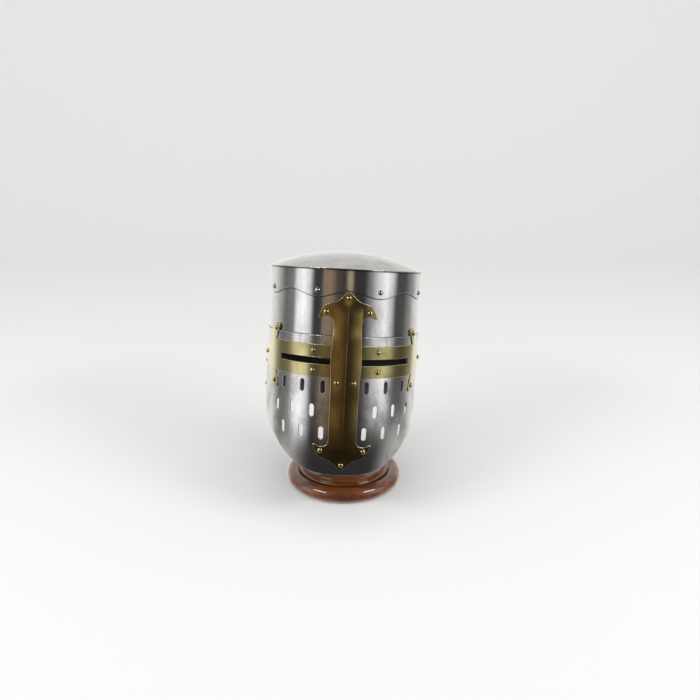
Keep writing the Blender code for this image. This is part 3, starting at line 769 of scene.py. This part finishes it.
# %% [markdown]
# ## Back plate
#
# The back plate goes up behind the skull plate, and steps out to lie level with it below. The step is
# a lift added while rolling, a function of the height alone.

# %% Back plate
BACK_TOP = -0.093
BACK_BOTTOM = -0.207
BACK_START = 86.0
JOGGLE = 0.003
behind = -GAP - SHEET


def back_lift(length, height):
    """Behind the skull plate, and level with it below the step."""
    return behind * (1.0 - ramp(height, SKULL_BOTTOM - JOGGLE, SKULL_BOTTOM - 2 * JOGGLE))


back_outline = rectangle(along(BACK_START), round_the_wall - along(BACK_START), BACK_BOTTOM, BACK_TOP)
back = cut_flat("nape", back_outline, [], SHEET, EDGE)
roll_up(back, LEVEL_SKULL, back_lift, rows=0.0012)
finish_piece(back, back_steel, "polished_steel", "back_plate")

# %% [markdown]
# ## Brass strips
#
# A band goes round the eyes and an upright bar down the middle. Both end in a fleur, a leaf with two
# wings and a tip. Half a leaf is drawn as a short table and mirrored. A curve through the points keeps
# the leaf's edge smooth, and breaks only at the corners that the table marks.


# %% A smooth edge through a few points
def smooth_edge(points, count=6):
    """Catmull-Rom curve through points of x, z and a corner mark, straight at each corner."""
    made = []
    for i in range(len(points) - 1):
        a = points[max(i - 1, 0)] if not points[i][2] else points[i]
        b, c = points[i], points[i + 1]
        d = points[min(i + 2, len(points) - 1)] if not points[i + 1][2] else points[i + 1]
        for k in range(count):
            t = k / count
            made.append(tuple(
                0.5 * (2 * b[j] + (c[j] - a[j]) * t + (2 * a[j] - 5 * b[j] + 4 * c[j] - d[j]) * t * t
                       + (3 * b[j] - a[j] - 3 * c[j] + d[j]) * t ** 3)
                for j in (0, 1)))
    made.append(points[-1][:2])
    return made


print("smooth edge of 3 points:", len(smooth_edge([(0, 0, 1), (1, 1, 0), (2, 0, 1)])), "points")

# %% Sight band
BAND_TOP = -0.1010
BAND_BOTTOM = -0.1436
BAND_END = 60.0
BAND_TIP = 0.0480
BAND_EDGE = 0.0004
band_middle = (BAND_TOP + BAND_BOTTOM) / 2
band_half = (BAND_TOP - BAND_BOTTOM) / 2
# along the band from its end, away from its middle, and 1 at a corner
BAND_FLEUR = (
    (-0.0040, 0.0260, 0),
    (-0.0070, 0.0330, 0),
    (-0.0100, 0.0400, 1),
    (-0.0075, 0.0445, 1),
    (0.0040, 0.0415, 0),
    (0.0120, 0.0350, 0),
    (0.0170, 0.0255, 0),
    (0.0190, 0.0160, 1),
    (0.0300, 0.0095, 0),
    (BAND_TIP, 0.0, 1),
)
band_end = along(BAND_END)
leaf = smooth_edge([(-0.0010, band_half, 1)] + list(BAND_FLEUR))
upper = [(band_end + x, band_middle + z) for x, z in leaf]
right = upper + [(x, 2 * band_middle - z) for x, z in reversed(upper[:-1])]
band_outline = right + [(-x, z) for x, z in reversed(right)]
band = cut_flat("brow_band", band_outline, sights, BAND_SHEET, BAND_EDGE)
roll_up(band, LEVEL_BAND)
finish_piece(band, band_brass, "aged_brass", "sight_band")

# %% [markdown]
# The bar is creased down its middle, so its two flanks mirror two different sides of the room. It also
# climbs over the face plate and the band, and comes back down below them. A brass strip that is beaten
# over an edge bends slowly, so both are long smooth ramps. All of it is one lift, added while rolling.

# %% Upright bar
BAR_TOP = -0.0300
BAR_BOTTOM = -0.2700
BAR_HALF = 0.0185
BAR_SWELL = 0.0015
BAR_SWELL_LENGTH = 0.060
BAR_RISE = (-0.070, -0.098)
BAR_FALL = (-0.152, -0.185)
BAR_RIDGE = 0.0031
BAR_RIDGE_START = 0.0125
BAR_RIDGE_FADE = 0.020
BAR_RIDGE_SOFT = 0.0010
BAR_FLEUR_LENGTH = 0.041
# away from the middle, down from the tip, and 1 at a corner
BAR_FLEUR = (
    (0.0, 0.0, 1),
    (0.0065, 0.0050, 0),
    (0.0110, 0.0098, 0),
    (0.0160, 0.0135, 1),
    (0.0262, 0.0163, 0),
    (0.0327, 0.0207, 0),
    (0.0402, 0.0350, 1),
    (0.0375, 0.0352, 1),
    (0.0294, 0.0325, 0),
    (0.0212, 0.0350, 0),
    (BAR_HALF, BAR_FLEUR_LENGTH, 1),
)


def bar_lift(length, height):
    """Over the face plate and the band, down again below, with the crease on top."""
    lift = (LEVEL_OVER_BAND - GAP) * ramp(height, *BAR_RISE)
    lift = lift - (LEVEL_OVER_BAND - LEVEL_BAND) * ramp(height, *BAR_FALL)
    tip = np.minimum(BAR_TOP - height, height - BAR_BOTTOM)
    across = 1.0 - (np.sqrt(length ** 2 + BAR_RIDGE_SOFT ** 2) - BAR_RIDGE_SOFT) / BAR_HALF
    across = np.clip(across, 0.0, None)
    return lift + BAR_RIDGE * across * ramp(tip, BAR_RIDGE_START, BAR_RIDGE_START + BAR_RIDGE_FADE)


leaf = smooth_edge(list(BAR_FLEUR))
half = [(x, BAR_TOP - down) for x, down in leaf]
for i in range(17):
    share = i / 16 - 0.5
    half.append((BAR_HALF + BAR_SWELL * math.cos(math.pi * share) ** 2,
                 band_middle - share * BAR_SWELL_LENGTH))
half += [(x, BAR_BOTTOM + up) for x, up in reversed(leaf)]
bar_outline = half + [(-x, z) for x, z in reversed(half[1:-1])]
bar = cut_flat("keel_strip", bar_outline, [], BAR_SHEET, EDGE)
roll_up(bar, GAP, bar_lift, rows=0.0015, step=0.5)
finish_piece(bar, bar_brass, "aged_brass", "keel_bar")

# %% [markdown]
# ## Rivets
#
# One round head is made from half a sphere, flattened a little, and copied to each place. Each copy is
# turned to the sheet under it: the sheet's own directions come from the rolling formula.
# An attribute marks the foot of the head, where the material paints shade, and every copy keeps it.

# %% One rivet head
RIVET_RADIUS = 0.0035
RIVET_DOME = 0.0024
FOOT_HEIGHT = 0.0007
FOOT_SHADE = 0.85
bpy.ops.object.select_all(action="DESELECT")
bpy.ops.mesh.primitive_uv_sphere_add(segments=32, ring_count=16, radius=RIVET_RADIUS, location=(0, 0, 0))
head = bpy.context.view_layer.objects.active
head.name = "rivet_head"
bpy.ops.object.mode_set(mode="EDIT")
bpy.ops.mesh.select_all(action="SELECT")
bpy.ops.mesh.bisect(plane_co=(0.0, 0.0, 0.0), plane_no=(0.0, 0.0, 1.0), clear_inner=True, use_fill=True,
                    threshold=1e-7)
bpy.ops.mesh.select_all(action="SELECT")
bpy.ops.transform.resize(value=(1.0, 1.0, RIVET_DOME / RIVET_RADIUS), center_override=(0.0, 0.0, 0.0))
bpy.ops.mesh.normals_make_consistent(inside=False)
bpy.ops.object.mode_set(mode="OBJECT")
only(head)
bpy.ops.object.shade_smooth_by_angle(angle=math.radians(60))
# the rim attribute holds the share of painted shade at the foot of the head
mark_points(head.data, "rim",
            [FOOT_SHADE * max(0.0, 1.0 - vert.co.z / FOOT_HEIGHT) for vert in head.data.vertices])
print("one head:", len(head.data.polygons), "faces")


# %% Places of the rivets
STEEL = (rivet_steel, "polished_steel")
BRASS = (rivet_brass, "aged_brass")


def rivet(node, length, height, out, finish, lift=None):
    """A copy of the head on the sheet, at a length and a height."""
    place = np.array([[length, height, out]])
    sides = [Vector(side[0]).normalized() for side in slopes(place, lift, 1e-3, (0, 1))]
    outwards = sides[0].cross(sides[1]).normalized()
    up = outwards.cross(sides[0]).normalized()
    turn = Matrix((sides[0], up, outwards)).transposed().to_4x4()
    made = head.copy()
    made.data = head.data.copy()
    made.name = "head_of_" + node
    bpy.context.scene.collection.objects.link(made)
    made.data.transform(seat @ Matrix.Translation(Vector(wall(place, lift)[0])) @ turn)
    finish_piece(made, *finish, node)
    return made


CROWN_RIVET_HEIGHT = -0.0298
BAR_TIP_RIVET = 0.0080
BAR_WING_RIVET = (0.0292, 0.0272)
BAR_MIDDLE_DROP = 0.0064
BAR_MIDDLE_ANGLE = 5.9
BAND_RIVET_ANGLE = 23.2
BAND_RIVET_INSET = 0.0080
WING_RIVET = 0.0364
TIP_RIVET = 0.0360
SEAM_RIVET_ANGLE = 92.0
SEAM_RIVET_HEIGHTS = (-0.140, -0.174)
BACK_RIVET_HEIGHT = -0.1035
BACK_RIVET_ANGLES = (119.0, 160.0, -160.0, -119.0)
crown_out = GAP + SHEET
face_out = LEVEL_FACE + SHEET
band_out = LEVEL_BAND + BAND_SHEET
bar_out = GAP + BAR_SHEET

heads = []
for i in range(SKIRT_WAVES):
    degrees = 360.0 * (i + 0.5) / SKIRT_WAVES
    degrees = degrees if degrees <= 180.0 else degrees - 360.0
    heads.append(rivet(f"crown_rivet_{i + 1}", along(degrees), CROWN_RIVET_HEIGHT, crown_out, STEEL))
for end, tip, way in (("top", BAR_TOP, -1), ("bottom", BAR_BOTTOM, 1)):
    heads.append(rivet(f"bar_{end}_rivet", 0.0, tip + way * BAR_TIP_RIVET, bar_out, BRASS, bar_lift))
    for side, way_round in (("left", -1), ("right", 1)):
        heads.append(rivet(f"bar_{end}_rivet_{side}", way_round * BAR_WING_RIVET[0],
                           tip + way * BAR_WING_RIVET[1], bar_out, BRASS, bar_lift))
for side, way in (("left", -1), ("right", 1)):
    heads.append(rivet(f"bar_middle_rivet_{side}", way * along(BAR_MIDDLE_ANGLE),
                       BAND_BOTTOM - BAR_MIDDLE_DROP, bar_out, BRASS, bar_lift))
    spots = (
        (f"band_upper_rivet_{side}", along(BAND_RIVET_ANGLE), BAND_TOP - BAND_RIVET_INSET),
        (f"band_lower_rivet_{side}", along(BAND_RIVET_ANGLE), BAND_BOTTOM + BAND_RIVET_INSET),
        (f"fleur_upper_rivet_{side}", band_end, band_middle + WING_RIVET),
        (f"fleur_lower_rivet_{side}", band_end, band_middle - WING_RIVET),
        (f"fleur_tip_rivet_{side}", band_end + TIP_RIVET, band_middle),
    )
    for node, length, height in spots:
        heads.append(rivet(node, way * length, height, band_out, BRASS))
    for i, height in enumerate(SEAM_RIVET_HEIGHTS):
        heads.append(rivet(f"seam_rivet_{side}_{i + 1}", way * along(SEAM_RIVET_ANGLE), height,
                           face_out, STEEL))
for i, degrees in enumerate(BACK_RIVET_ANGLES):
    heads.append(rivet(f"back_rivet_{i + 1}", along(degrees), BACK_RIVET_HEIGHT, 0.0, STEEL))
bpy.data.objects.remove(head)
print(len(heads), "rivet heads")

# %% [markdown]
# ## Stand
#
# The base was turned on a lathe, which is what the spin operator does: a profile goes once round the
# axis. Its big round bulge, the groove and the bead are arcs in that profile.

# %% Turning a profile
BULGE_RADIUS = 0.0884
BULGE_HEIGHT = 0.0246
BULGE_INSET = 0.0122
GROOVE_RADIUS = 0.0715
GROOVE_HEIGHT = 0.0215
BEAD_RADIUS = 0.0700
BEAD_HEIGHT = 0.0045
COLLAR_RADIUS = 0.0645
COLLAR_ROUND = 0.0010
STAND_TOP = 0.0310
POST_RADIUS = 0.0110
SOCKET_DEPTH = 0.0120
HEAD_RADIUS = 0.0380
HEAD_SIDE = 0.0120
TURN_STEPS = 160
SHARP = math.radians(40.0)


def turned_piece(name, profile, node):
    """Turns one piece of the stand from its profile."""
    made = spun(name, profile, TURN_STEPS, WELD)
    bpy.ops.object.mode_set(mode="OBJECT")
    only(made)
    bpy.ops.object.shade_smooth_by_angle(angle=SHARP)
    finish_piece(made, stand_wood, "turned_wood", node)
    print(name, len(made.data.polygons), "faces")


# %% Base, post and head
def arc_of(radius, height, size, start, end, count):
    """Points on an arc in a profile, round a middle at a radius and a height."""
    points = []
    for i in range(count + 1):
        turn = math.radians(start + (end - start) * i / count)
        points.append((radius + size * math.cos(turn), height + size * math.sin(turn)))
    return points


base_profile = [(0.0, 0.0)]
for i in range(41):
    turn = math.pi * (i / 40 - 0.5)
    base_profile.append((BULGE_RADIUS - BULGE_INSET * (1 - math.cos(turn)),
                         BULGE_HEIGHT / 2 * (1 + math.sin(turn))))
bead_half = BEAD_HEIGHT / 2
base_profile.append((GROOVE_RADIUS, GROOVE_HEIGHT))
base_profile += arc_of(BEAD_RADIUS - bead_half, GROOVE_HEIGHT + bead_half, bead_half, -90.0, 90.0, 16)
base_profile.append((COLLAR_RADIUS, GROOVE_HEIGHT + BEAD_HEIGHT))
base_profile += arc_of(COLLAR_RADIUS - COLLAR_ROUND, STAND_TOP - COLLAR_ROUND, COLLAR_ROUND, 0.0, 90.0, 6)
base_profile += [(POST_RADIUS + GAP, STAND_TOP), (POST_RADIUS + GAP, STAND_TOP - SOCKET_DEPTH),
                 (0.0, STAND_TOP - SOCKET_DEPTH)]
turned_piece("base", base_profile, "stand_base")

head_top = head_middle + HEAD_CURVE
drop = HEAD_CURVE - math.sqrt(HEAD_CURVE ** 2 - HEAD_RADIUS ** 2)
head_bottom = head_top - drop - HEAD_SIDE
socket_top = head_bottom + SOCKET_DEPTH
spread = math.asin(HEAD_RADIUS / HEAD_CURVE)
head_profile = [(0.0, socket_top), (POST_RADIUS + GAP, socket_top), (POST_RADIUS + GAP, head_bottom),
                (HEAD_RADIUS, head_bottom)]
for i in range(16, -1, -1):
    turn = spread * i / 16
    head_profile.append((HEAD_CURVE * math.sin(turn), head_top - HEAD_CURVE * (1 - math.cos(turn))))
turned_piece("knob", head_profile, "stand_head")

post_foot = STAND_TOP - SOCKET_DEPTH + GAP
post_top = socket_top - GAP
turned_piece("post", [(0.0, post_foot), (POST_RADIUS, post_foot), (POST_RADIUS, post_top), (0.0, post_top)],
             "stand_post")

# %% [markdown]
# ## Floor, studio and camera
#
# A mirror shows its room, so the room is part of the finish. The world gives pale light to the floor,
# and to the metal a studio: a bright softbox at each side, a dark room with a brownish patch in front,
# and a pale backdrop behind. It is a colour ramp over the direction round the helm, and it is tipped
# back as the helm is. Overhead and underfoot the room is dark in front and pale behind.

# %% Floor
# one sheet of paper runs under the stand and up behind it, so no line shows where the floor ends
FLOOR_BACK = 1.6
SWEEP_RADIUS = 0.7
FLOOR_SIZE = 8.0
FLOOR_RISE = 5.0
PAPER = (0.90, 0.90, 0.895, 1.0)
bpy.ops.object.select_all(action="DESELECT")
bpy.ops.mesh.primitive_plane_add(size=FLOOR_SIZE, location=(0.0, FLOOR_BACK - FLOOR_SIZE / 2, 0.0))
floor = bpy.context.view_layer.objects.active
floor.name = "floor"
bpy.ops.object.mode_set(mode="EDIT")
bpy.ops.mesh.select_all(action="DESELECT")
far = FLOOR_SIZE / 2 - 0.1
sheet = bmesh.from_edit_mesh(floor.data)
for edge in sheet.edges:
    edge.select_set(all(vert.co.y > far for vert in edge.verts))
sheet.select_flush_mode()
bmesh.update_edit_mesh(floor.data)
bpy.ops.mesh.extrude_region_move(TRANSFORM_OT_translate={"value": (0.0, 0.0, FLOOR_RISE)})
sheet = bmesh.from_edit_mesh(floor.data)
for edge in sheet.edges:
    edge.select_set(all(vert.co.y > far and vert.co.z < 0.1 for vert in edge.verts))
bmesh.update_edit_mesh(floor.data)
bpy.ops.mesh.bevel(offset=SWEEP_RADIUS, segments=24, affect="EDGES")
bpy.ops.mesh.select_all(action="SELECT")
bpy.ops.mesh.normals_make_consistent(inside=False)
bpy.ops.object.mode_set(mode="OBJECT")
bpy.ops.object.transform_apply(location=True, rotation=False, scale=False)
bpy.ops.object.shade_smooth()
paper, _, _, paper_shader = start_material("white_paper")
paper_shader.inputs["Base Color"].default_value = PAPER
paper_shader.inputs["Roughness"].default_value = 0.9
floor.data.materials.append(paper)
floor.visible_glossy = False
print("floor sweeps up behind the stand, and the metal doesn't mirror it:", len(floor.data.polygons), "faces")

# %% The studio round the helm
# direction round the helm in degrees, 0 in front and negative to the left, with its brightness
STUDIO = (
    (-180.0, (1.00, 0.99, 0.97)),
    (-150.0, (0.98, 0.97, 0.95)),
    (-136.0, (0.88, 0.87, 0.86)),
    (-124.0, (0.50, 0.50, 0.49)),
    (-112.0, (0.20, 0.20, 0.20)),
    (-94.0, (0.27, 0.27, 0.27)),
    (-87.0, (1.15, 1.15, 1.15)),
    (-74.0, (1.40, 1.40, 1.41)),
    (-63.0, (0.95, 0.95, 0.96)),
    (-56.0, (0.040, 0.042, 0.045)),
    (-44.0, (0.055, 0.055, 0.055)),
    (-40.0, (0.30, 0.23, 0.17)),
    (-29.0, (0.32, 0.23, 0.15)),
    (-18.0, (0.10, 0.080, 0.065)),
    (-4.0, (0.050, 0.045, 0.040)),
    (1.0, (0.45, 0.39, 0.28)),
    (6.0, (0.45, 0.39, 0.28)),
    (10.0, (0.040, 0.038, 0.038)),
    (30.0, (0.045, 0.045, 0.046)),
    (42.0, (0.38, 0.38, 0.38)),
    (50.0, (0.80, 0.80, 0.80)),
    (68.0, (1.30, 1.30, 1.31)),
    (79.0, (0.80, 0.80, 0.80)),
    (88.0, (0.085, 0.085, 0.085)),
    (106.0, (0.100, 0.100, 0.100)),
    (122.0, (0.36, 0.36, 0.35)),
    (136.0, (0.86, 0.85, 0.84)),
    (180.0, (1.00, 0.99, 0.97)),
)
PALE = (0.86, 0.86, 0.855)
OVER_FRONT = (0.05, 0.05, 0.05)
OVER_BACK = (0.70, 0.69, 0.68)
UNDER_FRONT = (0.035, 0.033, 0.034)
UNDER_BACK = (0.62, 0.61, 0.60)
# where one part of the room goes over into the next, on the way up or to the front
OVER_EDGE = (0.05, 0.60)
UNDER_EDGE = (-0.20, -0.38)
OVER_MIDDLE = (0.30, -0.30)
UNDER_MIDDLE = (0.45, -0.35)

world = bpy.data.worlds.new("studio")
bpy.context.scene.world = world
world.use_nodes = True
sky, wires = world.node_tree.nodes, world.node_tree.links
sky.clear()
where = sky.new("ShaderNodeTexCoord")
split = sky.new("ShaderNodeSeparateXYZ")
tipped = sky.new("ShaderNodeVectorRotate")
tipped.rotation_type = "X_AXIS"
tipped.inputs["Angle"].default_value = TIP
wires.new(where.outputs["Generated"], tipped.inputs["Vector"])
wires.new(tipped.outputs["Vector"], split.inputs["Vector"])
upwards = split.outputs["Z"]
forwards = work_out(sky, wires, "MULTIPLY", split.outputs["Y"], -1.0)
round_way = work_out(sky, wires, "ARCTAN2", split.outputs["X"], forwards)
share = work_out(sky, wires, "ADD", work_out(sky, wires, "DIVIDE", round_way, 2 * math.pi), 0.5)
ring = blend_colors(sky, wires, share, [(degrees / 360.0 + 0.5, color) for degrees, color in STUDIO])
over = mix_colors(sky, wires, smooth_range(sky, wires, forwards, *OVER_MIDDLE), OVER_FRONT, OVER_BACK)
room = mix_colors(sky, wires, smooth_range(sky, wires, upwards, *OVER_EDGE), ring, over)
under = mix_colors(sky, wires, smooth_range(sky, wires, forwards, *UNDER_MIDDLE), UNDER_FRONT, UNDER_BACK)
room = mix_colors(sky, wires, smooth_range(sky, wires, upwards, *UNDER_EDGE), room, under)
rays = sky.new("ShaderNodeLightPath")
shown = mix_colors(sky, wires, rays.outputs["Is Glossy Ray"], PALE, room)
light = sky.new("ShaderNodeBackground")
wires.new(shown, light.inputs["Color"])
output = sky.new("ShaderNodeOutputWorld")
wires.new(light.outputs["Background"], output.inputs["Surface"])
print("studio ring:", len(STUDIO), "stops")

# %% [markdown]
# Two area lights put shape into the wood and a faint shadow on the floor. They are low and wide, and
# small enough for the varnish and the rivet heads to show each of them as a bright streak.

# %% Lights
LAMP_ASIDE = 1.5
LAMP_BEFORE = 1.1
LAMP_HEIGHT = 1.3
LAMP_LONG = 0.9
LAMP_NARROW = 0.26
LAMP_POWER = 10.0
LAMP_AIM = Vector((0.0, 0.0, 0.15))
for name, side in (("left_box", -1), ("right_box", 1)):
    lamp = bpy.data.lights.new(name, "AREA")
    lamp.shape = "RECTANGLE"
    lamp.size = LAMP_LONG
    lamp.size_y = LAMP_NARROW
    lamp.energy = LAMP_POWER
    holder = bpy.data.objects.new(name, lamp)
    bpy.context.scene.collection.objects.link(holder)
    holder.location = (side * LAMP_ASIDE, -LAMP_BEFORE, LAMP_HEIGHT)
    aim = LAMP_AIM - holder.location
    holder.rotation_euler = aim.to_track_quat("-Z", "Y").to_euler()
    print(name, LAMP_POWER, "W")

# %% [markdown]
# The helm is tipped back, so the camera's place is given from the helm: a little above its rim, a few
# degrees to its left, and looking down. The same tip then puts it into the room.

# %% Camera
CAMERA_DISTANCE = 1.148
CAMERA_ABOVE_RIM = 0.0118
CAMERA_DOWN = math.radians(6.57)
CAMERA_ROUND = math.radians(2.84)
CAMERA_ASIDE = 0.0053
SENSOR_WIDTH = 36.0
IMAGE_WIDTH = 700
FOCAL_PIXELS = 785.0
rim = seat @ Vector((0.0, 0.0, 0.0))
look = Matrix.Rotation(-TIP, 3, "X") @ Matrix.Rotation(-CAMERA_ROUND, 3, "Z")
eye = rim + look @ Vector((CAMERA_ASIDE, -CAMERA_DISTANCE, CAMERA_ABOVE_RIM))
lens = bpy.data.cameras.new("camera")
lens.sensor_width = SENSOR_WIDTH
lens.lens = FOCAL_PIXELS / IMAGE_WIDTH * SENSOR_WIDTH
camera = bpy.data.objects.new("camera", lens)
bpy.context.scene.collection.objects.link(camera)
camera.location = eye
camera.rotation_euler = (look @ Matrix.Rotation(math.pi / 2 - CAMERA_DOWN, 3, "X")).to_euler()
bpy.context.scene.camera = camera
bpy.context.scene.view_settings.view_transform = "Standard"
print("camera at", [round(v, 3) for v in eye])
